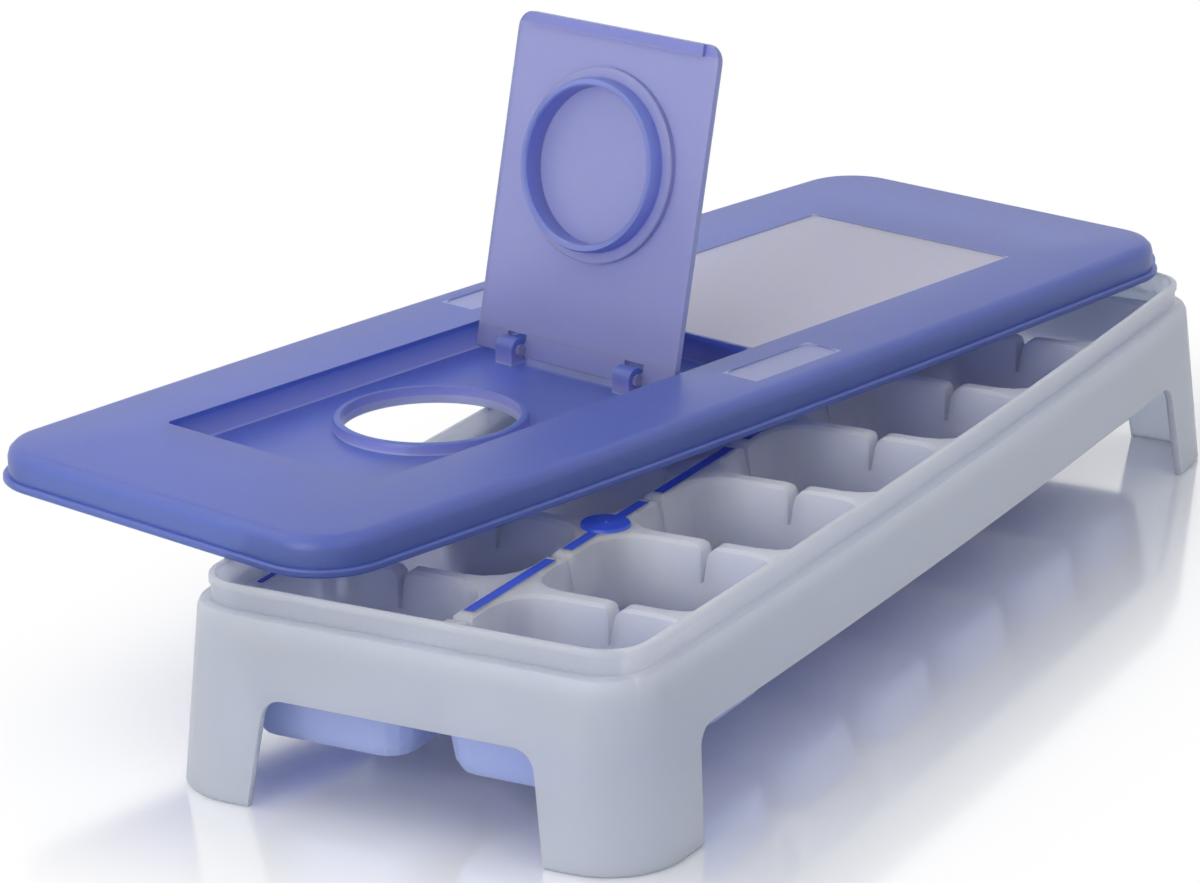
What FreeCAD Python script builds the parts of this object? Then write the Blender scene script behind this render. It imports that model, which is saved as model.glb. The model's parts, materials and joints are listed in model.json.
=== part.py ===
import FreeCAD, Part
import math
import os
import Sketcher
from FreeCAD import Placement, Rotation, Vector

# Footed ice cube tray, two rows of seven cells with soft bottoms, a lid lying askew on the rim
# and a filling flap that stands open on two hooks.
# Origin: middle of the tray where the feet stand. X runs along the tray, Z is up.

doc = FreeCAD.newDocument("IceCubeTray")
sheet = doc.addObject("Spreadsheet::Sheet", "Sizes")

sizes = [
    # tray shell
    ("rimHalfLength", 145.0),
    ("rimHalfWidth", 50.5),
    ("rimCorner", 10.25),
    ("wallBow", 2.33),
    ("rimLevel", 45.0),
    ("rimBandHeight", 1.7),
    ("rimBandProud", 0.4),
    ("rimRound", 0.6),
    ("shoulderLevel", 39.8),
    ("shoulderStep", 2.3),
    ("shoulderRound", 1.7),
    ("skirtFlare", 0.102),
    ("shellWall", 1.8),
    ("footRound", 0.5),
    # openings between the four legs
    ("legGapTop", 23.5),
    ("legGapCorner", 5.0),
    ("endGapHalfFoot", 34.4),
    ("endGapHalfTop", 31.0),
    ("sideGapHalfFoot", 126.6),
    ("sideGapHalfTop", 123.4),
    # deck and cells
    ("deckLevel", 37.7),
    ("deckThickness", 1.8),
    ("cellPitch", 41.0),
    ("cellCount", 7),
    ("ridgeWidth", 4.2),
    ("ridgeRound", 0.7),
    ("cellOuterEdge", 45.0),
    ("cellCorner", 9.5),
    ("cellDraft", 0.17),
    ("floorLevel", 11.5),
    ("softJoinLevel", 22.0),
    ("cellWall", 1.8),
    ("ribLevel", 28.0),
    ("ribWidth", 6.0),
    # levelling notches
    ("notchPlace", 24.8),
    ("notchTopHalf", 0.75),
    ("notchFootHalf", 0.3),
    ("notchFoot", 29.5),
    ("notchTightRound", 2.0),
    ("notchBroadRound", 3.2),
    # soft bottoms and the soft plastic's channels
    ("softFloor", 1.8),
    ("softFootRound", 3.4),
    ("softInnerRound", 2.4),
    ("runnerLength", 34.0),
    ("runnerWidth", 2.4),
    ("runnerDepth", 0.8),
    ("inlayGap", 0.05),
    ("gateRadius", 5.56),
    ("gateThickness", 0.6),
    ("gateNubRadius", 0.9),
    ("gateNubHeight", 0.5),
    ("gatePlace", 61.5),
    ("ventLength", 6.6),
    ("ventWidth", 1.0),
    ("ventPlaceX", 121.2),
    ("ventPlaceY", 46.9),
    ("ventProud", 0.3),
    # lid
    ("lidX", 17.06),
    ("lidY", 39.46),
    ("lidLift", 0.2),
    ("lidTurn", 13.33),
    ("lidFit", 0.5),
    ("lidWall", 1.6),
    ("lidBeadProud", 1.2),
    ("lidBeadHeight", 1.7),
    ("lidTopLevel", 8.3),
    ("lidTopRound", 3.0),
    ("lidCornerExtra", 2.2),
    ("pocketLeft", 112.0),
    ("pocketRight", 10.0),
    ("pocketHalfWidth", 31.5),
    ("pocketFloor", 1.7),
    ("pocketFloorThickness", 1.4),
    ("pocketCorner", 1.5),
    ("fillPlace", 62.0),
    ("fillBore", 20.1),
    ("collarRadius", 21.7),
    ("collarLevel", 4.3),
    ("collarRound", 0.7),
    ("panelLeft", 10.8),
    ("panelRight", 107.0),
    ("panelFront", 31.5),
    ("panelRear", 29.5),
    ("panelDepth", 0.4),
    ("panelCorner", 1.5),
    ("patchLeft", 8.0),
    ("patchRight", 22.0),
    ("patchInner", 38.5),
    ("patchOuter", 48.5),
    ("patchCorner", 3.5),
    ("tabX", 131.0),
    ("tabY", 26.0),
    ("tabRadius", 26.0),
    ("tabThickness", 1.7),
    # hinge of the flap
    ("hingePlace", 16.5),
    ("hingeLevel", 5.0),
    ("hookPlace", 18.0),
    ("hookWidth", 5.0),
    ("hookRadius", 2.8),
    ("hookBore", 1.5),
    ("barRadius", 1.4),
    ("barrelRadius", 1.6),
    ("flapNotchWidth", 5.8),
    ("flapNotchDepth", 3.4),
    # flap
    ("flapLean", 12.8),
    ("flapHalfWidth", 30.1),
    ("flapReach", 77.0),
    ("flapThickness", 1.6),
    ("flapSetBack", 1.3),
    ("flapCorner", 4.0),
    ("gripBand", 2.8),
    ("gripHeight", 1.0),
    ("plugPlace", 45.5),
    ("plugRadius", 19.8),
    ("plugTipRadius", 19.4),
    ("plugInnerRadius", 18.0),
    ("plugHeight", 5.3),
    ("seatRadius", 22.3),
    ("seatHeight", 1.75),
]

for row, (alias, value) in enumerate(sizes, start=1):
    sheet.set("A%d" % row, alias)
    sheet.set("B%d" % row, str(value))
    sheet.setAlias("B%d" % row, alias)
doc.recompute()


class Size:
    # a length from the sheet, or a sum made of such lengths, with its expression beside it
    def __init__(self, number, text):
        self.number = number
        self.text = text

    def __add__(self, other):
        return combine(self, "+", other)

    def __radd__(self, other):
        return combine(other, "+", self)

    def __sub__(self, other):
        return combine(self, "-", other)

    def __rsub__(self, other):
        return combine(other, "-", self)

    def __mul__(self, other):
        return combine(self, "*", other)

    def __rmul__(self, other):
        return combine(other, "*", self)

    def __truediv__(self, other):
        return combine(self, "/", other)

    def __neg__(self):
        return combine(0, "-", self)


def asSize(value):
    if isinstance(value, Size):
        return value
    return Size(float(value), "%.6g" % value)


def combine(left, sign, right):
    left = asSize(left)
    right = asSize(right)
    if sign == "+":
        number = left.number + right.number
    elif sign == "-":
        number = left.number - right.number
    elif sign == "*":
        number = left.number * right.number
    else:
        number = left.number / right.number
    return Size(number, "(%s %s %s)" % (left.text, sign, right.text))


def cell(alias):
    return Size(float(getattr(sheet, alias)), "Sizes." + alias)


def newBody(label):
    body = doc.addObject("PartDesign::Body", label)
    body.Label = label
    return body


def originPart(body, role):
    for feature in body.Origin.OriginFeatures:
        if feature.Role == role:
            return feature
    raise ValueError(role)


def leftOrRight(start, end, radius):
    # middle of the circle through both ends, on the left of the way from start to end for a
    # positive radius and on the right for a negative one
    across = end - start
    half = across.Length / 2
    side = Vector(-across.y, across.x, 0).normalize()
    reach = math.sqrt(max(radius * radius - half * half, 0))
    return (start + end) / 2 + side * reach * (1 if radius > 0 else -1)


def newSketch(body, name, plane, level, loops, shift=0):
    # each loop is a list of corners (x, y) or (x, y, radius), where the radius bends the edge
    # that starts at the corner
    sketch = body.newObject("Sketcher::SketchObject", name)
    sketch.AttachmentSupport = [(originPart(body, plane), "")]
    sketch.MapMode = "FlatFace"
    level = asSize(level)
    shift = asSize(shift)
    sketch.AttachmentOffset = Placement(Vector(shift.number, 0, level.number), Rotation())
    sketch.setExpression("AttachmentOffset.Base.z", level.text)
    if shift.number:
        sketch.setExpression("AttachmentOffset.Base.x", shift.text)
    named = 0
    for loop in loops:
        corners = [(asSize(c[0]), asSize(c[1]), asSize(c[2]) if len(c) > 2 else None) for c in loop]
        first = sketch.GeometryCount
        ends = []
        for index, (x, y, radius) in enumerate(corners):
            start = Vector(x.number, y.number, 0)
            after = corners[(index + 1) % len(corners)]
            end = Vector(after[0].number, after[1].number, 0)
            if radius is None:
                sketch.addGeometry(Part.LineSegment(start, end), False)
                ends.append((1, 2))
                continue
            middle = leftOrRight(start, end, radius.number)
            angleStart = math.atan2(start.y - middle.y, start.x - middle.x)
            angleEnd = math.atan2(end.y - middle.y, end.x - middle.x)
            forward = radius.number > 0
            low, high = (angleStart, angleEnd) if forward else (angleEnd, angleStart)
            if high < low:
                high += 2 * math.pi
            circle = Part.Circle(middle, Vector(0, 0, 1), abs(radius.number))
            sketch.addGeometry(Part.ArcOfCircle(circle, low, high), False)
            ends.append((1, 2) if forward else (2, 1))
        constraints = []
        bound = []
        for index, (x, y, radius) in enumerate(corners):
            here = first + index
            following = (index + 1) % len(corners)
            constraints.append(Sketcher.Constraint(
                "Coincident", here, ends[index][1], first + following, ends[following][0]))
            constraints.append(Sketcher.Constraint(
                "DistanceX", -1, 1, here, ends[index][0], x.number))
            bound.append((len(constraints) - 1, x))
            constraints.append(Sketcher.Constraint(
                "DistanceY", -1, 1, here, ends[index][0], y.number))
            bound.append((len(constraints) - 1, y))
            if radius is not None:
                size = radius if radius.number > 0 else -radius
                constraints.append(Sketcher.Constraint("Radius", here, size.number))
                bound.append((len(constraints) - 1, size))
        base = sketch.ConstraintCount
        sketch.addConstraint(constraints)
        for offset, size in bound:
            name = "size%d" % named
            named += 1
            sketch.renameConstraint(base + offset, name)
            sketch.setExpression("Constraints." + name, size.text)
    return sketch


def circleSketch(body, name, plane, level, circles, shift=0):
    sketch = body.newObject("Sketcher::SketchObject", name)
    sketch.AttachmentSupport = [(originPart(body, plane), "")]
    sketch.MapMode = "FlatFace"
    level = asSize(level)
    sketch.AttachmentOffset = Placement(Vector(0, 0, level.number), Rotation())
    sketch.setExpression("AttachmentOffset.Base.z", level.text)
    for index, (x, y, radius) in enumerate(circles):
        x = asSize(x)
        y = asSize(y)
        radius = asSize(radius)
        circle = Part.Circle(Vector(x.number, y.number, 0), Vector(0, 0, 1), radius.number)
        sketch.addGeometry(circle, False)
        for kind, size in (("DistanceX", x), ("DistanceY", y)):
            place = sketch.addConstraint(Sketcher.Constraint(kind, -1, 1, index, 3, size.number))
            name = "%s%d" % (kind.lower(), index)
            sketch.renameConstraint(place, name)
            sketch.setExpression("Constraints." + name, size.text)
        place = sketch.addConstraint(Sketcher.Constraint("Radius", index, radius.number))
        sketch.renameConstraint(place, "radius%d" % index)
        sketch.setExpression("Constraints.radius%d" % index, radius.text)
    return sketch


def bowedOutline(halfLength, halfWidth, corner, bow):
    # long sides are flat arcs that stand out by the bow in the middle, tangent to the corners
    straight = halfLength - corner
    spread = (straight * straight + bow * bow) / (2 * bow)
    x = straight + straight * corner / spread
    y = halfWidth - corner * bow / spread
    side = halfWidth - corner
    return [
        (-x, -y, spread + corner), (x, -y, corner),
        (halfLength, -side), (halfLength, side, corner),
        (x, y, spread + corner), (-x, y, corner),
        (-halfLength, side), (-halfLength, -side, corner),
    ]


def roundedBox(left, right, front, rear, corner):
    return [
        (left + corner, front), (right - corner, front, corner),
        (right, front + corner), (right, rear - corner, corner),
        (right - corner, rear), (left + corner, rear, corner),
        (left, rear - corner), (left, front + corner, corner),
    ]


def facetedBox(left, right, front, rear, corner):
    # the same with each corner as four short straights, for shapes that repeat many times
    loop = []
    corners = ((right - corner, front + corner, -90), (right - corner, rear - corner, 0),
               (left + corner, rear - corner, 90), (left + corner, front + corner, 180))
    for x, y, start in corners:
        for step in range(5):
            turn = math.radians(start + 22.5 * step)
            loop.append((x + corner * math.cos(turn), y + corner * math.sin(turn)))
    return loop


def plainBox(left, right, front, rear):
    return [(left, front), (right, front), (right, rear), (left, rear)]


def pad(body, name, sketch, length, both=False, down=False):
    feature = body.newObject("PartDesign::Pad", name)
    feature.Profile = sketch
    length = asSize(length)
    feature.Length = length.number
    feature.setExpression("Length", length.text)
    feature.Midplane = both
    feature.Reversed = down
    return feature


def pocket(body, name, sketch, length, both=False, up=False):
    # cuts away from the plane's upper side, or upwards when told so
    feature = body.newObject("PartDesign::Pocket", name)
    feature.Profile = sketch
    length = asSize(length)
    feature.Length = length.number
    feature.setExpression("Length", length.text)
    feature.Midplane = both
    feature.Reversed = up
    return feature


def loft(body, name, sections, cutting=False):
    kind = "PartDesign::SubtractiveLoft" if cutting else "PartDesign::AdditiveLoft"
    feature = body.newObject(kind, name)
    feature.Profile = sections[0]
    feature.Sections = sections[1:]
    feature.Ruled = True
    return feature


def stack(body, name, sections, cutting=False):
    # loft through outlines given as (height, loop), from the lowest up
    sketches = []
    for index, (height, loop) in enumerate(sections):
        sketches.append(newSketch(body, "%sSection%d" % (name, index), "XY_Plane", height, [loop]))
    return loft(body, name, sketches, cutting)


def roundSteps(radius, count=2):
    # (rise, inset) along a quarter round, from upright to flat
    steps = []
    for index in range(count + 1):
        turn = math.radians(90 * index / count)
        steps.append((radius * math.sin(turn), radius * (1 - math.cos(turn))))
    return steps


def revolve(body, name, sketch):
    feature = body.newObject("PartDesign::Revolution", name)
    feature.Profile = sketch
    feature.ReferenceAxis = (sketch, ["V_Axis"])
    feature.Angle = 360
    return feature


def mirrored(body, name, feature, planes):
    # the feature again on the far side of one or two of the body's own planes
    if len(planes) == 1:
        mirror = body.newObject("PartDesign::Mirrored", name)
        mirror.Originals = [feature]
        mirror.MirrorPlane = (originPart(body, planes[0]), [""])
        body.Tip = mirror
        return mirror
    several = body.newObject("PartDesign::MultiTransform", name)
    several.Originals = [feature]
    steps = []
    for index, plane in enumerate(planes):
        step = body.newObject("PartDesign::Mirrored", "%sStep%d" % (name, index))
        step.MirrorPlane = (originPart(body, plane), [""])
        steps.append(step)
    several.Transformations = steps
    body.Tip = several
    return several


def cellGrid(body, name, feature, bothRows=True):
    # seven along the tray from the first cell, and the same in the other row
    several = body.newObject("PartDesign::MultiTransform", name)
    several.Originals = [feature]
    along = body.newObject("PartDesign::LinearPattern", name + "Along")
    along.Direction = (originPart(body, "X_Axis"), [""])
    length = cell("cellPitch") * (cell("cellCount") - 1)
    along.Length = length.number
    along.setExpression("Length", length.text)
    along.Occurrences = int(cell("cellCount").number)
    along.setExpression("Occurrences", "Sizes.cellCount")
    steps = [along]
    if bothRows:
        across = body.newObject("PartDesign::Mirrored", name + "Across")
        across.MirrorPlane = (originPart(body, "XZ_Plane"), [""])
        steps.append(across)
    several.Transformations = steps
    body.Tip = several
    return several


def fillet(body, name, radius, wanted):
    # rounds the edges of the shape so far whose middle point passes the test
    doc.recompute()
    tip = body.Tip
    names = []
    for index, edge in enumerate(tip.Shape.Edges, start=1):
        middle = edge.valueAt((edge.FirstParameter + edge.LastParameter) / 2)
        if wanted(middle, edge):
            names.append("Edge%d" % index)
    if not names:
        raise ValueError("no edges for " + name)
    feature = body.newObject("PartDesign::Fillet", name)
    feature.Base = (tip, names)
    radius = asSize(radius)
    feature.Radius = radius.number
    feature.setExpression("Radius", radius.text)
    return feature


def near(value, target, slack=0.02):
    return abs(value - target) < slack


def level(edge, height):
    box = edge.BoundBox
    return near(box.ZMin, height) and near(box.ZMax, height)


rimHalfLength = cell("rimHalfLength")
rimHalfWidth = cell("rimHalfWidth")
rimCorner = cell("rimCorner")
wallBow = cell("wallBow")
rimLevel = cell("rimLevel")
shellWall = cell("shellWall")
shoulderLevel = cell("shoulderLevel")
deckLevel = cell("deckLevel")
cellPitch = cell("cellPitch")


def shellOutline(grown):
    return bowedOutline(rimHalfLength + grown, rimHalfWidth + grown, rimCorner + grown, wallBow)


def skirtGrowth(height):
    # how far the skirt stands outside the rim at a height
    return cell("shoulderStep") + cell("skirtFlare") * (shoulderLevel - height)


def cellOutline(height, grown=0, own=False):
    # inside of the first cell of the rear row at a height; it narrows evenly towards the floor
    # own: in the frame of a cup, whose middle lies under the cell's middle
    inset = (deckLevel - height) * cell("cellDraft") - grown
    middle = asSize(0) if own else -cellPitch * (cell("cellCount") - 1) / 2
    half = (cellPitch - cell("ridgeWidth")) / 2 - inset
    return facetedBox(middle - half, middle + half, cell("ridgeWidth") / 2 + inset,
                      cell("cellOuterEdge") - inset, cell("cellCorner") - inset)


# tray shell: flared skirt, rounded shoulder, upright neck and a slightly proud rim band
tray = newBody("tray_body")
footRound = cell("footRound")
skirt = [
    (0, shellOutline(skirtGrowth(0) - footRound)),
    (footRound, shellOutline(skirtGrowth(footRound))),
]
shoulderRound = cell("shoulderRound")
for rise, inset in roundSteps(shoulderRound):
    height = shoulderLevel - shoulderRound + rise
    skirt.append((height, shellOutline(skirtGrowth(height) - inset)))
stack(tray, "Skirt", skirt)
neckSketch = newSketch(tray, "NeckOutline", "XY_Plane", shoulderLevel - 1,
                       [shellOutline(-cell("rimBandProud"))])
pad(tray, "Neck", neckSketch, rimLevel - shoulderLevel + 1 - cell("rimBandHeight") / 2)
rimRound = cell("rimRound")
band = [(rimLevel - cell("rimBandHeight"), shellOutline(0))]
for rise, inset in roundSteps(rimRound):
    band.append((rimLevel - rimRound + rise, shellOutline(-inset)))
stack(tray, "RimBand", band)

# hollow above the deck, rounded out at the rim, and hollow below it
stack(tray, "Basin", [
    (deckLevel, shellOutline(-shellWall)),
    (rimLevel - rimRound, shellOutline(-shellWall)),
    (rimLevel, shellOutline(-shellWall + rimRound)),
], cutting=True)
underLevel = deckLevel - cell("deckThickness")
stack(tray, "UnderHollow", [
    (-1, shellOutline(skirtGrowth(-1) - shellWall)),
    (underLevel, shellOutline(skirtGrowth(underLevel) - shellWall)),
], cutting=True)


def legGap(name, plane, halfFoot, halfTop, reach):
    # opening under a wall, wider at the foot, cut through both opposite walls at once
    top = cell("legGapTop")
    slope = (halfFoot - halfTop) / top
    low = halfFoot + slope
    sketch = newSketch(tray, name + "Outline", plane, 0,
                       [[(-low, -1), (low, -1), (halfTop, top), (-halfTop, top)]])
    pocket(tray, name, sketch, reach * 2, both=True)


legGap("EndGaps", "YZ_Plane", cell("endGapHalfFoot"), cell("endGapHalfTop"),
       rimHalfLength + skirtGrowth(0) + 2)
legGap("SideGaps", "XZ_Plane", cell("sideGapHalfFoot"), cell("sideGapHalfTop"),
       rimHalfWidth + skirtGrowth(0) + wallBow + 2)


def legGapCornerEdge(middle, edge):
    if not level(edge, cell("legGapTop").number) or edge.Length > 4:
        return False
    atEnd = near(abs(middle.y), cell("endGapHalfTop").number, 0.5)
    atSide = near(abs(middle.x), cell("sideGapHalfTop").number, 0.5)
    return atEnd or atSide


fillet(tray, "LegGapCorners", cell("legGapCorner"), legGapCornerEdge)

# webs under the ridges, down to where the walls of neighbouring cells part
ribWidth = cell("ribWidth")
ribReach = cell("cellOuterEdge") - 1
ribs = [plainBox(-cellPitch * 3 - 17, cellPitch * 3 + 17, -ribWidth / 2, ribWidth / 2)]
ribSketch = newSketch(tray, "LongRibOutline", "XY_Plane", cell("ribLevel"), ribs)
pad(tray, "LongRib", ribSketch, underLevel - cell("ribLevel") + 1)
firstRib = -cellPitch * 2.5
crossSketch = newSketch(tray, "CrossRibOutline", "XY_Plane", cell("ribLevel"),
                        [plainBox(firstRib - ribWidth / 2, firstRib + ribWidth / 2,
                                  -ribReach, ribReach)])
crossRib = pad(tray, "CrossRib", crossSketch, underLevel - cell("ribLevel") + 1)
crossRibs = tray.newObject("PartDesign::LinearPattern", "CrossRibs")
crossRibs.Originals = [crossRib]
crossRibs.Direction = (originPart(tray, "X_Axis"), [""])
crossRibs.Length = (cellPitch * 5).number
crossRibs.setExpression("Length", (cellPitch * 5).text)
crossRibs.Occurrences = 6
tray.Tip = crossRibs

# stiff upper part of each cell wall, ending where the soft bottom starts
cellWall = cell("cellWall")
joinLevel = cell("softJoinLevel")
wallLow = newSketch(tray, "CellWallFoot", "XY_Plane", joinLevel,
                    [cellOutline(joinLevel, cellWall)])
wallHigh = newSketch(tray, "CellWallTop", "XY_Plane", underLevel + 0.5,
                     [cellOutline(underLevel + 0.5, cellWall)])
wallLoft = loft(tray, "CellWall", [wallLow, wallHigh])
cellGrid(tray, "CellWalls", wallLoft)
ridgeRound = cell("ridgeRound")
clearLoft = stack(tray, "Cell", [
    (joinLevel - 1, cellOutline(joinLevel - 1)),
    (deckLevel - ridgeRound, cellOutline(deckLevel - ridgeRound)),
    (deckLevel, cellOutline(deckLevel, ridgeRound)),
    (deckLevel + 1, cellOutline(deckLevel, ridgeRound)),
], cutting=True)
cellGrid(tray, "Cells", clearLoft)


def notchLoop(place, tight, broad):
    # slot with a tight shoulder on one side and a broad one on the other
    topHalf = cell("notchTopHalf")
    footHalf = cell("notchFootHalf")
    foot = cell("notchFoot")
    loop = [(place - footHalf, foot), (place + footHalf, foot)]
    for degrees in (0, 30, 60, 90):
        turn = math.radians(degrees)
        loop.append((place + topHalf + broad * (1 - math.cos(turn)),
                     deckLevel - broad * (1 - math.sin(turn))))
    loop.append((place + topHalf + broad, deckLevel + 1))
    loop.append((place - topHalf - tight, deckLevel + 1))
    for degrees in (90, 60, 30, 0):
        turn = math.radians(degrees)
        loop.append((place - topHalf - tight * (1 - math.cos(turn)),
                     deckLevel - tight * (1 - math.sin(turn))))
    return loop


tightRound = cell("notchTightRound")
broadRound = cell("notchBroadRound")
dividerNotch = newSketch(tray, "DividerNotchOutline", "YZ_Plane", 0,
                         [notchLoop(cell("notchPlace"), tightRound, broadRound)])
dividerCut = pocket(tray, "DividerNotch", dividerNotch, cellPitch * 5 + 10, both=True)
dividerCut.Refine = False
dividerCuts = mirrored(tray, "DividerNotches", dividerCut, ["XZ_Plane"])
dividerCuts.Refine = False
ridgeNotch = newSketch(tray, "RidgeNotchOutline", "XZ_Plane", 0,
                       [notchLoop(-cellPitch * 3, tightRound, tightRound)])
ridgeCut = pocket(tray, "RidgeNotch", ridgeNotch, 10, both=True)
ridgeCut.Refine = False
ridgeCuts = cellGrid(tray, "RidgeNotches", ridgeCut, bothRows=False)
ridgeCuts.Refine = False

# grooves for the soft plastic's runners along the middle ridge, and for the vents on the ledge
inlayGap = cell("inlayGap")


def runnerBox(grown):
    half = cell("runnerLength") / 2 + grown
    wide = cell("runnerWidth") / 2 + grown
    return plainBox(firstRib - half, firstRib + half, -wide, wide)


runnerSketch = newSketch(tray, "RunnerGrooveOutline", "XY_Plane", deckLevel + 1,
                         [runnerBox(inlayGap)])
runnerCut = pocket(tray, "RunnerGroove", runnerSketch, cell("runnerDepth") + 1)
runnerCut.Refine = False
runnerCuts = tray.newObject("PartDesign::LinearPattern", "RunnerGrooves")
runnerCuts.Originals = [runnerCut]
runnerCuts.Direction = (originPart(tray, "X_Axis"), [""])
runnerCuts.Length = (cellPitch * 5).number
runnerCuts.setExpression("Length", (cellPitch * 5).text)
runnerCuts.Occurrences = 6
runnerCuts.Refine = False
tray.Tip = runnerCuts

# soft bottoms: cups that carry on the cell walls down to a rounded floor
cupFloor = cell("floorLevel")
cupFoot = cupFloor - cell("softFloor")
softRound = cell("softFootRound")
innerRound = cell("softInnerRound")


firstCup = newBody("soft_bottom_rear_1")
outside = []
for rise, inset in roundSteps(softRound):
    height = cupFoot + softRound - rise
    outside.insert(0, (height, cellOutline(height, cellWall - inset, True)))
outside.append((joinLevel, cellOutline(joinLevel, cellWall, True)))
stack(firstCup, "Cup", outside)
inside = []
for rise, inset in roundSteps(innerRound, 1):
    height = cupFloor + innerRound - rise
    inside.insert(0, (height, cellOutline(height, -inset, True)))
inside.append((joinLevel + 1, cellOutline(joinLevel + 1, 0, True)))
stack(firstCup, "CupHollow", inside, cutting=True)

# every other cup is the first one again, turned half round in the front row
pieces = [tray]
for rowName, turn in (("rear", 0), ("front", 180)):
    for column in range(7):
        label = "soft_bottom_%s_%d" % (rowName, column + 1)
        cup = firstCup
        if label != firstCup.Label:
            cup = newBody(label)
            cup.BaseFeature = firstCup
        place = cellPitch * (column - 3)
        cup.Placement = Placement(Vector(place.number, 0, 0), Rotation(Vector(0, 0, 1), turn))
        cup.setExpression("Placement.Base.x", place.text)
        pieces.append(cup)

# runners in their grooves, gates over two crossings and vents on the ledge
for index in range(6):
    runner = doc.addObject("Part::Box", "runner_%d" % (index + 1))
    runner.Label = "runner_%d" % (index + 1)
    for prop, size in (("Length", cell("runnerLength")), ("Width", cell("runnerWidth")),
                       ("Height", cell("runnerDepth"))):
        runner.setExpression(prop, size.text)
    corner = cellPitch * (index - 2.5) - cell("runnerLength") / 2
    runner.setExpression("Placement.Base.x", corner.text)
    runner.setExpression("Placement.Base.y", (-cell("runnerWidth") / 2).text)
    runner.setExpression("Placement.Base.z", (deckLevel - cell("runnerDepth")).text)
    pieces.append(runner)

for name, side in (("left", -1), ("right", 1)):
    gate = newBody("gate_" + name)
    disc = newSketch(gate, "GateOutline" + name, "XZ_Plane", 0, [[
        (0, 0), (cell("gateRadius"), 0),
        (cell("gateRadius") - 0.3, cell("gateThickness")),
        (cell("gateNubRadius"), cell("gateThickness")),
        (0, cell("gateThickness") + cell("gateNubHeight")),
    ]])
    revolve(gate, "GateDisc" + name, disc)
    gate.Placement = Placement(Vector(side * cell("gatePlace").number, 0, deckLevel.number),
                               Rotation())
    gate.setExpression("Placement.Base.x", (side * cell("gatePlace")).text)
    gate.setExpression("Placement.Base.z", deckLevel.text)
    pieces.append(gate)

for name, alongSide, acrossSide in (("front_left", -1, -1), ("front_right", 1, -1),
                                    ("rear_left", -1, 1), ("rear_right", 1, 1)):
    vent = doc.addObject("Part::Box", "vent_" + name)
    vent.Label = "vent_" + name
    vent.setExpression("Length", "Sizes.ventLength")
    vent.setExpression("Width", "Sizes.ventWidth")
    vent.setExpression("Height", "Sizes.ventProud")
    vent.setExpression("Placement.Base.x",
                       (alongSide * cell("ventPlaceX") - cell("ventLength") / 2).text)
    vent.setExpression("Placement.Base.y",
                       (acrossSide * cell("ventPlaceY") - cell("ventWidth") / 2).text)
    vent.setExpression("Placement.Base.z", deckLevel.text)
    pieces.append(vent)

# lid: shallow hood over the rim with a bead round its foot
lid = newBody("lid_shell")
lidWall = cell("lidWall")
lidFit = cell("lidFit")
lidTop = cell("lidTopLevel")


def lidOutline(grown):
    return bowedOutline(rimHalfLength + grown, rimHalfWidth + grown,
                        rimCorner + cell("lidCornerExtra") + grown, wallBow)


lidTopRound = cell("lidTopRound")
hood = [(0, lidOutline(lidFit + lidWall))]
for rise, inset in roundSteps(lidTopRound, 3):
    hood.append((lidTop - lidTopRound + rise, lidOutline(lidFit + lidWall - inset)))
stack(lid, "Hood", hood)
beadProud = cell("lidBeadProud")
beadHeight = cell("lidBeadHeight")
stack(lid, "Bead", [
    (0, lidOutline(lidFit + lidWall + beadProud - 0.4)),
    (0.4, lidOutline(lidFit + lidWall + beadProud)),
    (beadHeight - 0.4, lidOutline(lidFit + lidWall + beadProud)),
    (beadHeight, lidOutline(lidFit + lidWall + beadProud - 0.4)),
])

# pull tab on one end, level with the bead
tabSketch = circleSketch(lid, "TabOutline", "XY_Plane", 0,
                         [(cell("tabX"), -cell("tabY"), cell("tabRadius"))])
pad(lid, "Tab", tabSketch, cell("tabThickness"))
hollowSketch = newSketch(lid, "HoodHollowOutline", "XY_Plane", 0, [lidOutline(lidFit)])
pocket(lid, "HoodHollow", hollowSketch, lidTop - lidWall, up=True)

# sunk pocket that takes the flap, with the filling hole and its collar
pocketLeft = -cell("pocketLeft")
pocketRight = cell("pocketRight")
pocketHalf = cell("pocketHalfWidth")
pocketFloor = cell("pocketFloor")
floorUnder = pocketFloor - cell("pocketFloorThickness")
tubSketch = newSketch(lid, "TubOutline", "XY_Plane", floorUnder, [
    roundedBox(pocketLeft - lidWall, pocketRight + lidWall, -pocketHalf - lidWall,
               pocketHalf + lidWall, cell("pocketCorner") + lidWall)])
pad(lid, "Tub", tubSketch, lidTop - lidWall / 2 - floorUnder)
sunkSketch = newSketch(lid, "PocketOutline", "XY_Plane", lidTop + 1, [
    roundedBox(pocketLeft, pocketRight, -pocketHalf, pocketHalf, cell("pocketCorner"))])
pocket(lid, "Pocket", sunkSketch, lidTop + 1 - pocketFloor)
collarR = cell("collarRadius")
collarTop = cell("collarLevel")
collarRound = cell("collarRound")
collarInner = cell("fillBore") - 0.5
collarSketch = newSketch(lid, "CollarOutline", "XZ_Plane", 0, [[
    (collarInner, pocketFloor - 0.5), (collarR, pocketFloor - 0.5),
    (collarR, collarTop - collarRound), (collarR - collarRound * 0.3, collarTop - collarRound * 0.3),
    (collarR - collarRound, collarTop),
    (collarInner, collarTop),
]], shift=-cell("fillPlace"))
revolve(lid, "Collar", collarSketch)
boreSketch = circleSketch(lid, "BoreOutline", "XY_Plane", lidTop + 1,
                          [(-cell("fillPlace"), 0, cell("fillBore"))])
pocket(lid, "Bore", boreSketch, lidTop + 2)

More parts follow.
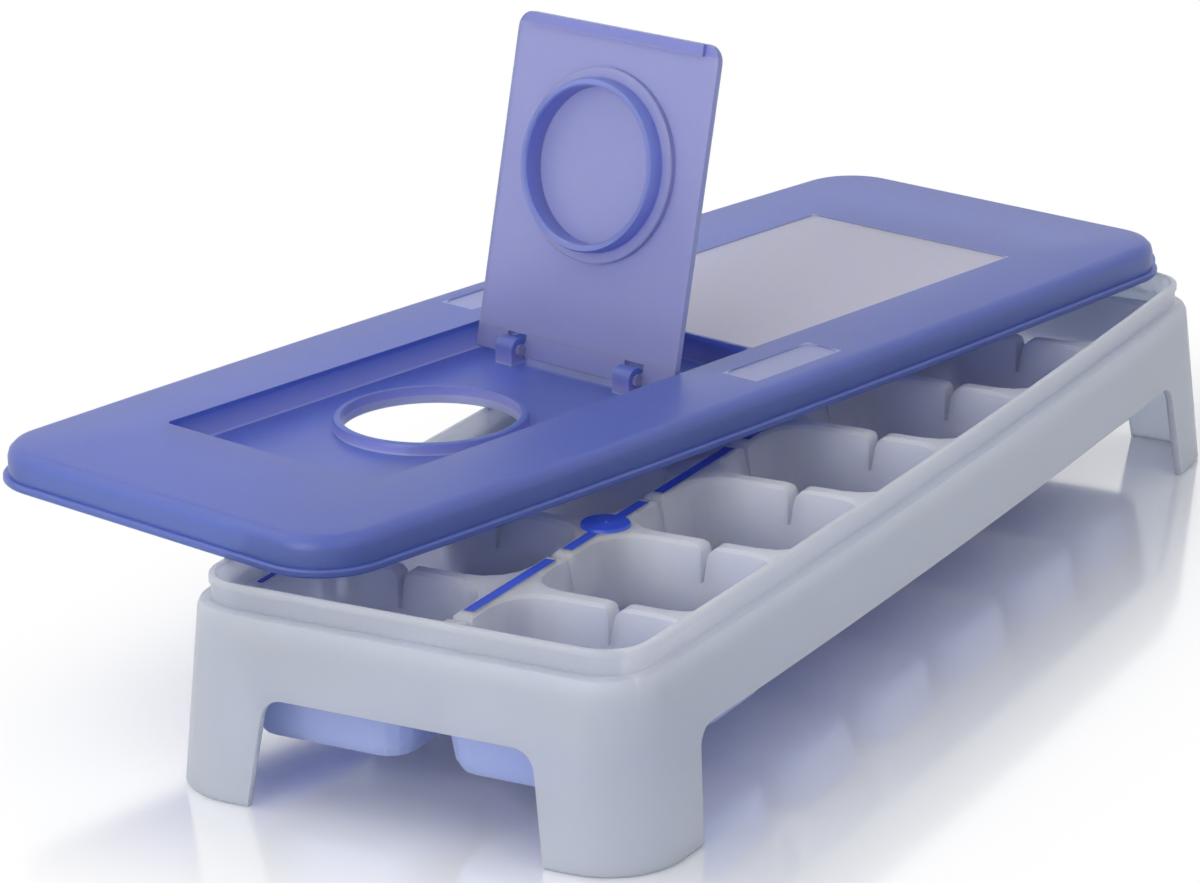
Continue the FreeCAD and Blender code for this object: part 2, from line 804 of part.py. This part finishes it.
# bare matt fields on the top
panelSketch = newSketch(lid, "PanelOutline", "XY_Plane", lidTop + 1, [
    roundedBox(cell("panelLeft"), cell("panelRight"), -cell("panelFront"), cell("panelRear"),
               cell("panelCorner"))])
pocket(lid, "Panel", panelSketch, cell("panelDepth") + 1)
patchSketch = newSketch(lid, "PatchOutline", "XY_Plane", lidTop + 1, [
    roundedBox(-cell("patchLeft"), cell("patchRight"), cell("patchInner"), cell("patchOuter"),
               cell("patchCorner"))])
patchCut = pocket(lid, "Patch", patchSketch, cell("panelDepth") + 1)
mirrored(lid, "Patches", patchCut, ["XZ_Plane"])

# hooks that hold the flap's bars, with their mouths away from the filling hole
hingeX = -cell("hingePlace")
hingeZ = cell("hingeLevel")
outerR = cell("hookRadius")
innerR = cell("hookBore")
hookLoop = [
    (hingeX - outerR, pocketFloor - 0.5), (hingeX + outerR * 0.8, pocketFloor - 0.5),
    (hingeX + outerR * 0.8, hingeZ - outerR * 0.6),
    (hingeX + innerR * 0.8, hingeZ - innerR * 0.6, -innerR),
    (hingeX, hingeZ - innerR, -innerR), (hingeX - innerR, hingeZ, -innerR),
    (hingeX, hingeZ + innerR, -innerR), (hingeX + innerR * 0.8, hingeZ + innerR * 0.6),
    (hingeX + outerR * 0.8, hingeZ + outerR * 0.6, outerR),
    (hingeX, hingeZ + outerR, outerR), (hingeX - outerR, hingeZ),
]
hookSketch = newSketch(lid, "HookOutline", "XZ_Plane", -cell("hookPlace"), [hookLoop])
hook = pad(lid, "Hook", hookSketch, cell("hookWidth"), both=True)
mirrored(lid, "Hooks", hook, ["XZ_Plane"])
lid.Placement = Placement(
    Vector(cell("lidX").number, cell("lidY").number, (rimLevel + cell("lidLift")).number),
    Rotation(Vector(0, 0, -1), cell("lidTurn").number))
lid.setExpression("Placement.Base.x", "Sizes.lidX")
lid.setExpression("Placement.Base.y", "Sizes.lidY")
lid.setExpression("Placement.Base.z", (rimLevel + cell("lidLift")).text)
lid.setExpression("Placement.Rotation.Angle", "Sizes.lidTurn")
pieces.append(lid)

# flap, in a frame whose Y is the hinge axis, X runs up the plate and Z to the plug's side
flap = newBody("fill_flap")
faceLevel = -cell("flapSetBack")
backLevel = faceLevel - cell("flapThickness")
flapHalf = cell("flapHalfWidth")
flapReach = cell("flapReach")
flapCorner = cell("flapCorner")
plateSketch = newSketch(flap, "PlateOutline", "XY_Plane", backLevel, [[
    (0, -flapHalf), (flapReach - flapCorner, -flapHalf, flapCorner),
    (flapReach, -flapHalf + flapCorner), (flapReach, flapHalf - flapCorner, flapCorner),
    (flapReach - flapCorner, flapHalf), (0, flapHalf),
]])
pad(flap, "Plate", plateSketch, cell("flapThickness"))
barrelR = cell("barrelRadius")
barrelSketch = newSketch(flap, "BarrelOutline", "XZ_Plane", 0, [[
    (0, backLevel), (barrelR * 2, backLevel), (barrelR * 2, faceLevel), (barrelR, faceLevel),
    (barrelR, 0, barrelR), (0, barrelR, barrelR), (-barrelR, 0),
    (-barrelR, backLevel + barrelR, barrelR),
]])
pad(flap, "Barrel", barrelSketch, flapHalf * 2, both=True)
gripSketch = newSketch(flap, "GripOutline", "XY_Plane", faceLevel - 0.2, [[
    (flapReach - cell("gripBand"), -flapHalf + flapCorner),
    (flapReach, -flapHalf + flapCorner), (flapReach, flapHalf - flapCorner),
    (flapReach - cell("gripBand"), flapHalf - flapCorner),
]])
pad(flap, "Grip", gripSketch, cell("gripHeight") + 0.2)
notchSketch = newSketch(flap, "HookNotchOutline", "XY_Plane", 5, [
    plainBox(-5, cell("flapNotchDepth"), cell("hookPlace") - cell("flapNotchWidth") / 2,
             cell("hookPlace") + cell("flapNotchWidth") / 2)])
notchCut = pocket(flap, "HookNotch", notchSketch, 10)
mirrored(flap, "HookNotches", notchCut, ["XZ_Plane"])
barSketch = circleSketch(flap, "BarOutline", "XZ_Plane", -cell("hookPlace"),
                         [(0, 0, cell("barRadius"))])
bar = pad(flap, "Bar", barSketch, cell("flapNotchWidth") + 1, both=True)
mirrored(flap, "Bars", bar, ["XZ_Plane"])
plugR = cell("plugRadius")
plugTip = faceLevel + cell("plugHeight")
plugSketch = newSketch(flap, "PlugOutline", "XZ_Plane", 0, [[
    (cell("plugInnerRadius"), faceLevel - 0.3), (cell("seatRadius"), faceLevel - 0.3),
    (cell("seatRadius"), faceLevel + cell("seatHeight") - 0.4),
    (cell("seatRadius") - 0.4, faceLevel + cell("seatHeight")),
    (plugR, faceLevel + cell("seatHeight")), (plugR, plugTip - 1),
    (cell("plugTipRadius"), plugTip), (cell("plugInnerRadius") + 0.4, plugTip),
    (cell("plugInnerRadius"), plugTip - 0.4),
]], shift=cell("plugPlace"))
revolve(flap, "Plug", plugSketch)
hinge = Placement(Vector(hingeX.number, 0, hingeZ.number), Rotation())
lean = Placement(Vector(0, 0, 0), Rotation(Vector(0, 1, 0), cell("flapLean").number - 90))
flap.Placement = lid.Placement.multiply(hinge).multiply(lean)
pieces.append(flap)
doc.recompute()

failed = [o.Name for o in doc.Objects if "Invalid" in o.State or "Error" in o.State]
if failed:
    raise RuntimeError("failed: " + ", ".join(failed))
for piece in pieces:
    if piece.Shape.isNull() or not piece.Shape.isValid() or len(piece.Shape.Solids) != 1:
        raise RuntimeError("bad shape: " + piece.Label)

os.makedirs("parts", exist_ok=True)
for piece in pieces:
    piece.Shape.exportStep(os.path.join("parts", piece.Label + ".step"))
    print(piece.Label, round(piece.Shape.Volume), len(piece.Shape.Faces))
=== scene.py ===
import math

import bmesh
import bpy
from mathutils import Matrix, Vector
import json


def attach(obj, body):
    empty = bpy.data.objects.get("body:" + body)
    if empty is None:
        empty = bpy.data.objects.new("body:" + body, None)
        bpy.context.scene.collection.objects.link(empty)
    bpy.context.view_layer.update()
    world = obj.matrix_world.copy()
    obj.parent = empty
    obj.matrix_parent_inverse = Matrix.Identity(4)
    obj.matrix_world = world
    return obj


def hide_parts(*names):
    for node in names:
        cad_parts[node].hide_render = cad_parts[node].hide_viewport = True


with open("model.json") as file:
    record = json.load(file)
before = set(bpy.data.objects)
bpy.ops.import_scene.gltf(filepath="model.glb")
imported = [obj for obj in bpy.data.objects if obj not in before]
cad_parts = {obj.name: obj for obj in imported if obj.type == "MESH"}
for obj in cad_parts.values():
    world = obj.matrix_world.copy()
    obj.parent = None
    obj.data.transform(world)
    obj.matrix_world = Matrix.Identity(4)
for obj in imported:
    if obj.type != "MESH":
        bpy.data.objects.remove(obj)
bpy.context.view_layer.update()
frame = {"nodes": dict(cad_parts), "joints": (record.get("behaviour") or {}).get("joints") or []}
nodes = frame["nodes"]
print("frame loaded:", len(nodes), "nodes")

mm = 0.001
weldGap = 0.002 * mm      # loose triangles meet within this
white = (1, 1, 1, 1)


class Wire:
    # one output socket of a node, with arithmetic
    def __init__(self, maker, socket):
        self.maker = maker
        self.socket = socket

    def calc(self, operation, first, second):
        return self.maker.add("ShaderNodeMath", {"operation": operation}, {0: first, 1: second})

    def __add__(self, other):
        return self.calc("ADD", self, other)

    def __radd__(self, other):
        return self.calc("ADD", other, self)

    def __sub__(self, other):
        return self.calc("SUBTRACT", self, other)

    def __rsub__(self, other):
        return self.calc("SUBTRACT", other, self)

    def __mul__(self, other):
        return self.calc("MULTIPLY", self, other)

    def __rmul__(self, other):
        return self.calc("MULTIPLY", other, self)

    def __pow__(self, other):
        return self.calc("POWER", self, other)

    def __abs__(self):
        return self.calc("ABSOLUTE", self, 0.0)

    def atLeast(self, other):
        return self.calc("MAXIMUM", self, other)

    def rise(self, low, high):
        # 0 up to low, 1 from high on, smooth between
        return self.maker.add("ShaderNodeMapRange", {"interpolation_type": "SMOOTHSTEP"},
                              {0: self, 1: low, 2: high, 3: 0.0, 4: 1.0})

    def between(self, low, high, soft):
        return self.rise(low - soft, low + soft) * (1 - self.rise(high - soft, high + soft))


class NodeMaker:
    def __init__(self, tree):
        self.tree = tree
        tree.nodes.clear()

    def add(self, kind, settings=None, values=None, out=0):
        made = self.tree.nodes.new(kind)
        for key, value in (settings or {}).items():
            setattr(made, key, value)
        for key, value in (values or {}).items():
            if isinstance(value, Wire):
                self.tree.links.new(value.socket, made.inputs[key])
            else:
                made.inputs[key].default_value = value
        return Wire(self, made.outputs[out]) if len(made.outputs) else None

    def parts(self, vector):
        first = self.add("ShaderNodeSeparateXYZ", {}, {0: vector})
        return [Wire(self, output) for output in first.socket.node.outputs]

    def mixColour(self, factor, first, second):
        return self.add("ShaderNodeMix", {"data_type": "RGBA"}, {"Factor": factor, 6: first, 7: second},
                        out=2)

    def place(self):
        return self.add("ShaderNodeTexCoord", out="Object")

    def moved(self, vector, location, rotation):
        # the same point read in a frame that stands at location, turned by rotation
        return self.add("ShaderNodeMapping", {"vector_type": "TEXTURE"},
                        {"Vector": vector, "Location": location, "Rotation": rotation})

    def noise(self, place, scale, detail):
        return self.add("ShaderNodeTexNoise", {}, {"Vector": place, "Scale": scale, "Detail": detail})


def newMaterial(name):
    material = bpy.data.materials.new(name)
    material.use_nodes = True
    return material, NodeMaker(material.node_tree)


def newPiece(name, mesh):
    # puts a finished bmesh into the scene
    data = bpy.data.meshes.new(name)
    mesh.to_mesh(data)
    mesh.free()
    piece = bpy.data.objects.new(name, data)
    bpy.context.scene.collection.objects.link(piece)
    return piece


def srgb(red, green, blue):
    # linear colour of a colour read as 0..255
    def linear(v):
        v = v / 255
        return v / 12.92 if v <= 0.04045 else ((v + 0.055) / 1.055) ** 2.4
    return (linear(red), linear(green), linear(blue), 1.0)


# what all the plastics have in common
skinLook = {"cloudDetail": 3.0, "cloudLow": 0.35, "cloudHigh": 0.7, "grainDetail": 2.0,
            "grainMiddle": 0.5}


def frosted(name, look, paint=None):
    # moulded see-through plastic with a fine matt skin
    material, make = newMaterial(name)
    place = make.place()
    cloud = make.noise(place, look["cloudScale"], skinLook["cloudDetail"])
    cloud = cloud.rise(skinLook["cloudLow"], skinLook["cloudHigh"])
    colour = make.mixColour(cloud, look["colour"], look["cloudColour"])
    grain = make.noise(place, look["grainScale"], skinLook["grainDetail"])
    roughness = look["roughness"] + (grain - skinLook["grainMiddle"]) * look["roughnessSpread"]
    if paint:
        colour, roughness = paint(make, place, colour, roughness)
    bump = make.add("ShaderNodeBump", {}, {"Strength": look["bump"], "Distance": look["bumpDepth"],
                                          "Height": grain})
    skin = make.add("ShaderNodeBsdfPrincipled", {}, {
        "Base Color": colour, "Roughness": roughness, "IOR": look["ior"],
        "Transmission Weight": look["seeThrough"], "Subsurface Weight": look["glow"],
        "Subsurface Radius": look["glowRadius"], "Subsurface Scale": look["glowScale"],
        "Normal": bump})
    make.add("ShaderNodeOutputMaterial", {}, {"Surface": skin})
    return material


trayLook = {
    "colour": srgb(236, 240, 255), "cloudColour": srgb(228, 233, 255), "cloudScale": 18.0,
    "grainScale": 1500.0, "roughness": 0.4, "roughnessSpread": 0.12, "bump": 0.12,
    "bumpDepth": 0.0002, "ior": 1.45, "seeThrough": 0.5, "glow": 0.85,
    "glowRadius": (1.0, 1.05, 1.2), "glowScale": 0.012,
    # painted shade: the outside of the rim and skirt is painted greyer than the cells
    "innerHalfX": 141.0, "innerHalfY": 50.0, "innerSoft": 1.5, "outside": srgb(212, 220, 236),
}


def paintTrayShade(make, place, colour, roughness):
    look = trayLook
    x, y = make.parts(place)[:2]
    soft = look["innerSoft"] * mm
    outX = abs(x).rise(look["innerHalfX"] * mm, look["innerHalfX"] * mm + soft)
    outY = abs(y).rise(look["innerHalfY"] * mm, look["innerHalfY"] * mm + soft)
    # painted shade: past the cells' span on either axis the tray takes the greyer colour
    return make.mixColour(outX.atLeast(outY), colour, look["outside"]), roughness


softLook = {
    "colour": srgb(176, 190, 238), "cloudColour": srgb(168, 182, 234), "cloudScale": 30.0,
    "grainScale": 1200.0, "roughness": 0.42, "roughnessSpread": 0.1, "bump": 0.1,
    "bumpDepth": 0.0002, "ior": 1.4, "seeThrough": 0.35, "glow": 0.5,
    "glowRadius": (0.8, 0.9, 1.3), "glowScale": 0.004,
}

# the runners, gates and vents
channelLook = {
    "colour": srgb(56, 84, 198), "cloudColour": srgb(46, 74, 186), "cloudScale": 60.0,
    "grainScale": 1500.0, "roughness": 0.35, "roughnessSpread": 0.1, "bump": 0.08,
    "bumpDepth": 0.0001, "ior": 1.47, "seeThrough": 0.0, "glow": 0.2,
    "glowRadius": (0.5, 0.6, 1.2), "glowScale": 0.001,
}

# the lid's own frame: its origin is where the lift joint stands, turned as its hinge is
joints = {joint["name"]: joint for joint in frame["joints"]}
lidPlace = Vector(joints["lid_lift"]["pos_m"])
hingeAxis = Vector(joints["flap_hinge"]["axis"])
lidTurn = -math.atan2(hingeAxis.x, hingeAxis.y)

lidLook = {
    "colour": srgb(104, 124, 212), "cloudColour": srgb(98, 118, 208), "cloudScale": 14.0,
    "grainScale": 1800.0, "roughness": 0.38, "roughnessSpread": 0.12, "bump": 0.16,
    "bumpDepth": 0.0002, "ior": 1.49, "seeThrough": 0.55, "glow": 0.5,
    "glowRadius": (0.4, 0.6, 1.3), "glowScale": 0.006,
    # fields of the top in the lid's own frame: low X, high X, low Y, high Y
    "panel": (10.8, 107.0, -31.5, 29.5), "panelColour": srgb(238, 237, 255),
    "patch": (-8.0, 22.0, 38.5, 48.5), "patchColour": srgb(200, 206, 255),
    "topLevel": 7.6, "topSoft": 0.1, "fieldSoft": 0.15, "fieldRoughness": 0.62,
    # upright faces: the sides of the lid carry painted shade; the walls of the pocket carry a painted
    # shade that is lighter at the foot and darker at the top, with a painted highlight line along the
    # foot
    "uprightFrom": 0.05, "uprightTo": 0.5, "paintedSideShade": srgb(98, 120, 192),
    "pocket": (-112.6, 10.6), "pocketHalf": 32.1, "pocketLow": 1.9, "pocketHigh": 8.3,
    "wallLow": srgb(160, 160, 230), "wallHigh": srgb(88, 112, 200),
    "highlightLineFrom": 0.1, "highlightLineTo": 0.5, "highlightLineColour": srgb(190, 196, 244),
}


def paintLid(make, place, colour, roughness):
    look = lidLook
    x, y, z = make.parts(make.moved(place, lidPlace, (0, 0, lidTurn)))
    soft = look["fieldSoft"] * mm
    top = z.rise((look["topLevel"] - look["topSoft"]) * mm, look["topLevel"] * mm)
    x0, x1, y0, y1 = [v * mm for v in look["panel"]]
    panel = x.between(x0, x1, soft) * y.between(y0, y1, soft) * top
    x0, x1, y0, y1 = [v * mm for v in look["patch"]]
    patch = x.between(x0, x1, soft) * abs(y).between(y0, y1, soft) * top
    facing = make.parts(make.add("ShaderNodeNewGeometry", out="Normal"))[2]
    upright = 1 - abs(facing).rise(look["uprightFrom"], look["uprightTo"])
    x0, x1 = [v * mm for v in look["pocket"]]
    half = look["pocketHalf"] * mm
    inside = x.between(x0, x1, soft) * (1 - abs(y).rise(half - soft, half + soft))
    low = look["pocketLow"]
    # painted shade on the pocket walls: lighter at the foot, darker towards the top
    height = z.rise(low * mm, look["pocketHigh"] * mm)
    # painted highlight: a thin bright line along the foot of the pocket walls
    highlightLine = 1 - z.rise((low + look["highlightLineFrom"]) * mm, (low + look["highlightLineTo"]) * mm)
    wall = make.mixColour(highlightLine, make.mixColour(height, look["wallLow"], look["wallHigh"]),
                          look["highlightLineColour"])
    # painted shade on the upright sides of the lid outside the pocket
    colour = make.mixColour(upright * (1 - inside), colour, look["paintedSideShade"])
    colour = make.mixColour(upright * inside, colour, wall)
    colour = make.mixColour(panel, colour, look["panelColour"])
    colour = make.mixColour(patch, colour, look["patchColour"])
    field = panel.atLeast(patch)
    return colour, roughness * (1 - field) + field * look["fieldRoughness"]


flapShape = {
    "hinge": (-16.5 * mm, 0, 5.0 * mm), "turn": math.radians(12.8 - 90),
    # in the flap's frame: X up the plate from the hinge, Z towards the plug's side
    "cutAt": 3.6, "footEnd": -1.7, "face": -1.3, "back": -2.9,
    "footRound": 0.5, "footSegments": 3, "edgeReach": 0.01,
    "spans": [(-30.1, -20.9), (-15.1, 15.1), (20.9, 30.1)],
    "bars": [(-21.0, -15.0), (15.0, 21.0)], "barRadius": 1.4, "barSegments": 24,
}

flapLook = {
    "colour": srgb(162, 165, 214), "cloudColour": srgb(156, 159, 210), "cloudScale": 14.0,
    "grainScale": 1800.0, "roughness": 0.36, "roughnessSpread": 0.12, "bump": 0.16,
    "bumpDepth": 0.0002, "ior": 1.49, "seeThrough": 0.55, "glow": 0.5,
    "glowRadius": (0.4, 0.6, 1.3), "glowScale": 0.006,
    # the plug's ring stands up from the plate, its walls and top painted a deeper blue that is partly
    # the ring's own depth of plastic and partly painted shade; the band lies along the free end
    "ringPlace": 45.5, "ringInner": 17.7, "ringOuter": 20.1, "ringSoft": 0.15,
    "ringFrom": -1.25, "ringTo": -1.05, "ringTintAndShade": srgb(140, 152, 224),
    "bandFrom": 74.2, "bandTo": 74.6, "bandColour": srgb(142, 148, 214),
}


def paintFlap(make, place, colour, roughness):
    look = flapLook
    onLid = make.moved(place, lidPlace, (0, 0, lidTurn))
    onFlap = make.moved(onLid, flapShape["hinge"], (0, flapShape["turn"], 0))
    x, y, z = make.parts(onFlap)
    outX = x - look["ringPlace"] * mm
    radius = (outX * outX + y * y) ** 0.5
    ring = radius.between(look["ringInner"] * mm, look["ringOuter"] * mm, look["ringSoft"] * mm)
    ring = ring * z.rise(look["ringFrom"] * mm, look["ringTo"] * mm)
    band = x.rise(look["bandFrom"] * mm, look["bandTo"] * mm)
    colour = make.mixColour(band, colour, look["bandColour"])
    # the ring's walls and top: deeper blue, partly painted shade
    return make.mixColour(ring, colour, look["ringTintAndShade"]), roughness


trayPlastic = frosted("trayPlastic", trayLook, paintTrayShade)
softPlastic = frosted("softPlastic", softLook)
channelPlastic = frosted("channelPlastic", channelLook)
lidPlastic = frosted("lidPlastic", lidLook, paintLid)
flapPlastic = frosted("flapPlastic", flapLook, paintFlap)


def smoothGroup(name, degrees):
    # joins the loose triangles and smooths every edge flatter than the angle
    group = bpy.data.node_groups.new(name, "GeometryNodeTree")
    group.interface.new_socket("Geometry", in_out="INPUT", socket_type="NodeSocketGeometry")
    group.interface.new_socket("Geometry", in_out="OUTPUT", socket_type="NodeSocketGeometry")
    make = NodeMaker(group)
    start = make.add("NodeGroupInput")
    merged = make.add("GeometryNodeMergeByDistance", {}, {"Geometry": start, "Distance": weldGap})
    faces = make.add("GeometryNodeSetShadeSmooth", {"domain": "FACE"}, {"Geometry": merged})
    angle = make.add("GeometryNodeInputMeshEdgeAngle")
    flat = make.add("FunctionNodeCompare", {"operation": "LESS_THAN"},
                    {0: angle, 1: math.radians(degrees)})
    edges = make.add("GeometryNodeSetShadeSmooth", {"domain": "EDGE"},
                     {"Geometry": faces, "Shade Smooth": flat})
    make.add("NodeGroupOutput", {}, {0: edges})
    return group


smoothing = smoothGroup("smoothByAngle", degrees=34)


def dress(piece, material):
    piece.data.materials.clear()
    piece.data.materials.append(material)
    modifier = piece.modifiers.new("smooth", "NODES")
    modifier.node_group = smoothing


finishes = {"tray_body": trayPlastic, "lid_shell": lidPlastic, "fill_flap": flapPlastic}
for name in nodes:
    if name.startswith("soft_bottom"):
        dress(nodes[name], softPlastic)
    else:
        dress(nodes[name], finishes.get(name, channelPlastic))
print("plastics assigned")


def addFoot(mesh, low, high):
    # one stretch of the plate below the cut, with its lower end rounded
    shape = flapShape
    end = shape["footEnd"]
    size = Vector((shape["cutAt"] - end, high - low, shape["face"] - shape["back"])) * mm
    middle = Vector((shape["cutAt"] + end, low + high, shape["face"] + shape["back"])) / 2 * mm
    block = Matrix.Translation(middle) @ Matrix.Diagonal((*size, 1))
    cube = bmesh.ops.create_cube(mesh, size=1, matrix=block)["verts"]
    tips = [v for v in cube if v.co.x < (end + shape["edgeReach"]) * mm]
    foot = [e for e in mesh.edges if e.verts[0] in tips and e.verts[1] in tips]
    bmesh.ops.bevel(mesh, geom=foot, offset=shape["footRound"] * mm,
                    segments=shape["footSegments"], profile=0.5, affect="EDGES", material=-1)


def addBar(mesh, low, high):
    # the piece of pin that a hook holds, across a window
    radius = flapShape["barRadius"] * mm
    place = (Matrix.Translation((0, (low + high) / 2 * mm, 0))
             @ Matrix.Rotation(math.radians(90), 4, "X"))
    bmesh.ops.create_cone(mesh, cap_ends=True, segments=flapShape["barSegments"], radius1=radius,
                          radius2=radius, depth=(high - low) * mm, matrix=place)


def makeFlap():
    # the CAD flap down to the hinge, and there a flat foot with a window for each hook
    shape = flapShape
    stand = (Matrix.Translation(lidPlace) @ Matrix.Rotation(lidTurn, 4, "Z")
             @ Matrix.Translation(shape["hinge"]) @ Matrix.Rotation(shape["turn"], 4, "Y"))
    mesh = bmesh.new()
    mesh.from_mesh(nodes["fill_flap"].data)
    bmesh.ops.remove_doubles(mesh, verts=mesh.verts, dist=weldGap)
    bmesh.ops.transform(mesh, matrix=stand.inverted(), verts=mesh.verts)
    every = mesh.verts[:] + mesh.edges[:] + mesh.faces[:]
    bmesh.ops.bisect_plane(mesh, geom=every, plane_co=(shape["cutAt"] * mm, 0, 0),
                           plane_no=(1, 0, 0), clear_inner=True)
    bmesh.ops.holes_fill(mesh, edges=[e for e in mesh.edges if e.is_boundary], sides=0)
    for low, high in shape["spans"]:
        addFoot(mesh, low, high)
    for low, high in shape["bars"]:
        addBar(mesh, low, high)
    bmesh.ops.transform(mesh, matrix=stand, verts=mesh.verts)
    plate = newPiece("flap_plate", mesh)
    dress(plate, flapPlastic)
    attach(plate, "flap")
    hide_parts("fill_flap")


makeFlap()
print("flap made")


def seenRay(make):
    # 1 for what the camera sees, also in gloss and through clear plastic
    first = make.add("ShaderNodeLightPath", out="Is Camera Ray")
    outputs = first.socket.node.outputs
    gloss = Wire(make, outputs["Is Glossy Ray"])
    through = Wire(make, outputs["Is Transmission Ray"])
    return first.atLeast(gloss).atLeast(through)


floorLook = {
    "colour": srgb(246, 247, 250), "shine": 0.5, "roughness": 0.11, "size": 6.0, "drop": 0.2 * mm,
    # how far from the tray the floor turns white
    "middle": 0.02, "halfLength": 0.150, "halfWidth": 0.060, "fadeStart": 0.0, "fadeEnd": 0.085,
}


def makeFloor():
    look = floorLook
    mesh = bmesh.new()
    bmesh.ops.create_grid(mesh, x_segments=1, y_segments=1, size=look["size"])
    bmesh.ops.translate(mesh, verts=mesh.verts, vec=(0, 0, -look["drop"]))
    floor = newPiece("floor", mesh)
    material, make = newMaterial("floorGloss")
    matt = make.add("ShaderNodeBsdfDiffuse", {}, {"Color": look["colour"]})
    gloss = make.add("ShaderNodeBsdfGlossy", {}, {"Color": white, "Roughness": look["roughness"]})
    surface = make.add("ShaderNodeMixShader", {}, {0: look["shine"], 1: matt, 2: gloss})
    x, y = make.parts(make.place())[:2]
    outX = (abs(x - look["middle"]) - look["halfLength"]).atLeast(0.0)
    outY = (abs(y) - look["halfWidth"]).atLeast(0.0)
    away = (outX * outX + outY * outY) ** 0.5
    fade = away.rise(look["fadeStart"], look["fadeEnd"])
    plain = make.add("ShaderNodeEmission", {}, {"Color": white, "Strength": 1.0})
    surface = make.add("ShaderNodeMixShader", {}, {0: fade * seenRay(make), 1: surface, 2: plain})
    make.add("ShaderNodeOutputMaterial", {}, {"Surface": surface})
    floor.data.materials.append(material)


makeFloor()
print("floor laid")

worldLook = {"light": 0.74, "seen": 1.0}


def makeWorld():
    look = worldLook
    world = bpy.data.worlds.new("studio")
    bpy.context.scene.world = world
    world.use_nodes = True
    make = NodeMaker(world.node_tree)
    strength = look["light"] + seenRay(make) * (look["seen"] - look["light"])
    back = make.add("ShaderNodeBackground", {}, {"Color": white, "Strength": strength})
    make.add("ShaderNodeOutputWorld", {}, {"Surface": back})


makeWorld()

lampAim = Vector((0.0, 0.0, 0.03))
lamps = {
    "keyLamp": {"place": (-0.35, 0.9, 1.3), "size": 1.4, "power": 6.0},
    "sideLamp": {"place": (-1.4, 0.2, 0.6), "size": 0.9, "power": 8.0},
    "cellLamp": {"place": (-0.3, -1.0, 1.1), "size": 0.8, "power": 1.5},
}


def makeLamp(name, lamp):
    data = bpy.data.lights.new(name, "AREA")
    data.energy = lamp["power"]
    data.size = lamp["size"]
    light = bpy.data.objects.new(name, data)
    light.location = lamp["place"]
    aim = lampAim - Vector(lamp["place"])
    light.rotation_euler = aim.to_track_quat("-Z", "Y").to_euler()
    bpy.context.scene.collection.objects.link(light)


for name, lamp in lamps.items():
    makeLamp(name, lamp)
print("lights set")

# pitch is downwards, lens and sensor are in millimetres
view = {"place": (-0.86316, -0.44146, 0.36144), "yaw": 0.5044, "pitch": 0.3217, "roll": -0.0143,
        "lens": 136.785, "sensor": 36.0, "clipStart": 0.01}


def makeCamera():
    yaw, pitch, roll = view["yaw"], view["pitch"], view["roll"]
    ahead = Vector((math.cos(pitch) * math.cos(yaw), math.cos(pitch) * math.sin(yaw),
                    -math.sin(pitch)))
    level = ahead.cross(Vector((0, 0, 1))).normalized()
    up = level.cross(ahead)
    right = level * math.cos(roll) + up * math.sin(roll)
    above = up * math.cos(roll) - level * math.sin(roll)
    data = bpy.data.cameras.new("camera")
    data.sensor_width = view["sensor"]
    data.sensor_fit = "HORIZONTAL"
    data.lens = view["lens"]
    data.clip_start = view["clipStart"]
    camera = bpy.data.objects.new("camera", data)
    basis = Matrix((right, above, -ahead)).transposed().to_4x4()
    camera.matrix_world = Matrix.Translation(view["place"]) @ basis
    bpy.context.scene.collection.objects.link(camera)
    bpy.context.scene.camera = camera


makeCamera()
bpy.context.scene.view_settings.view_transform = "Standard"
print("camera set")
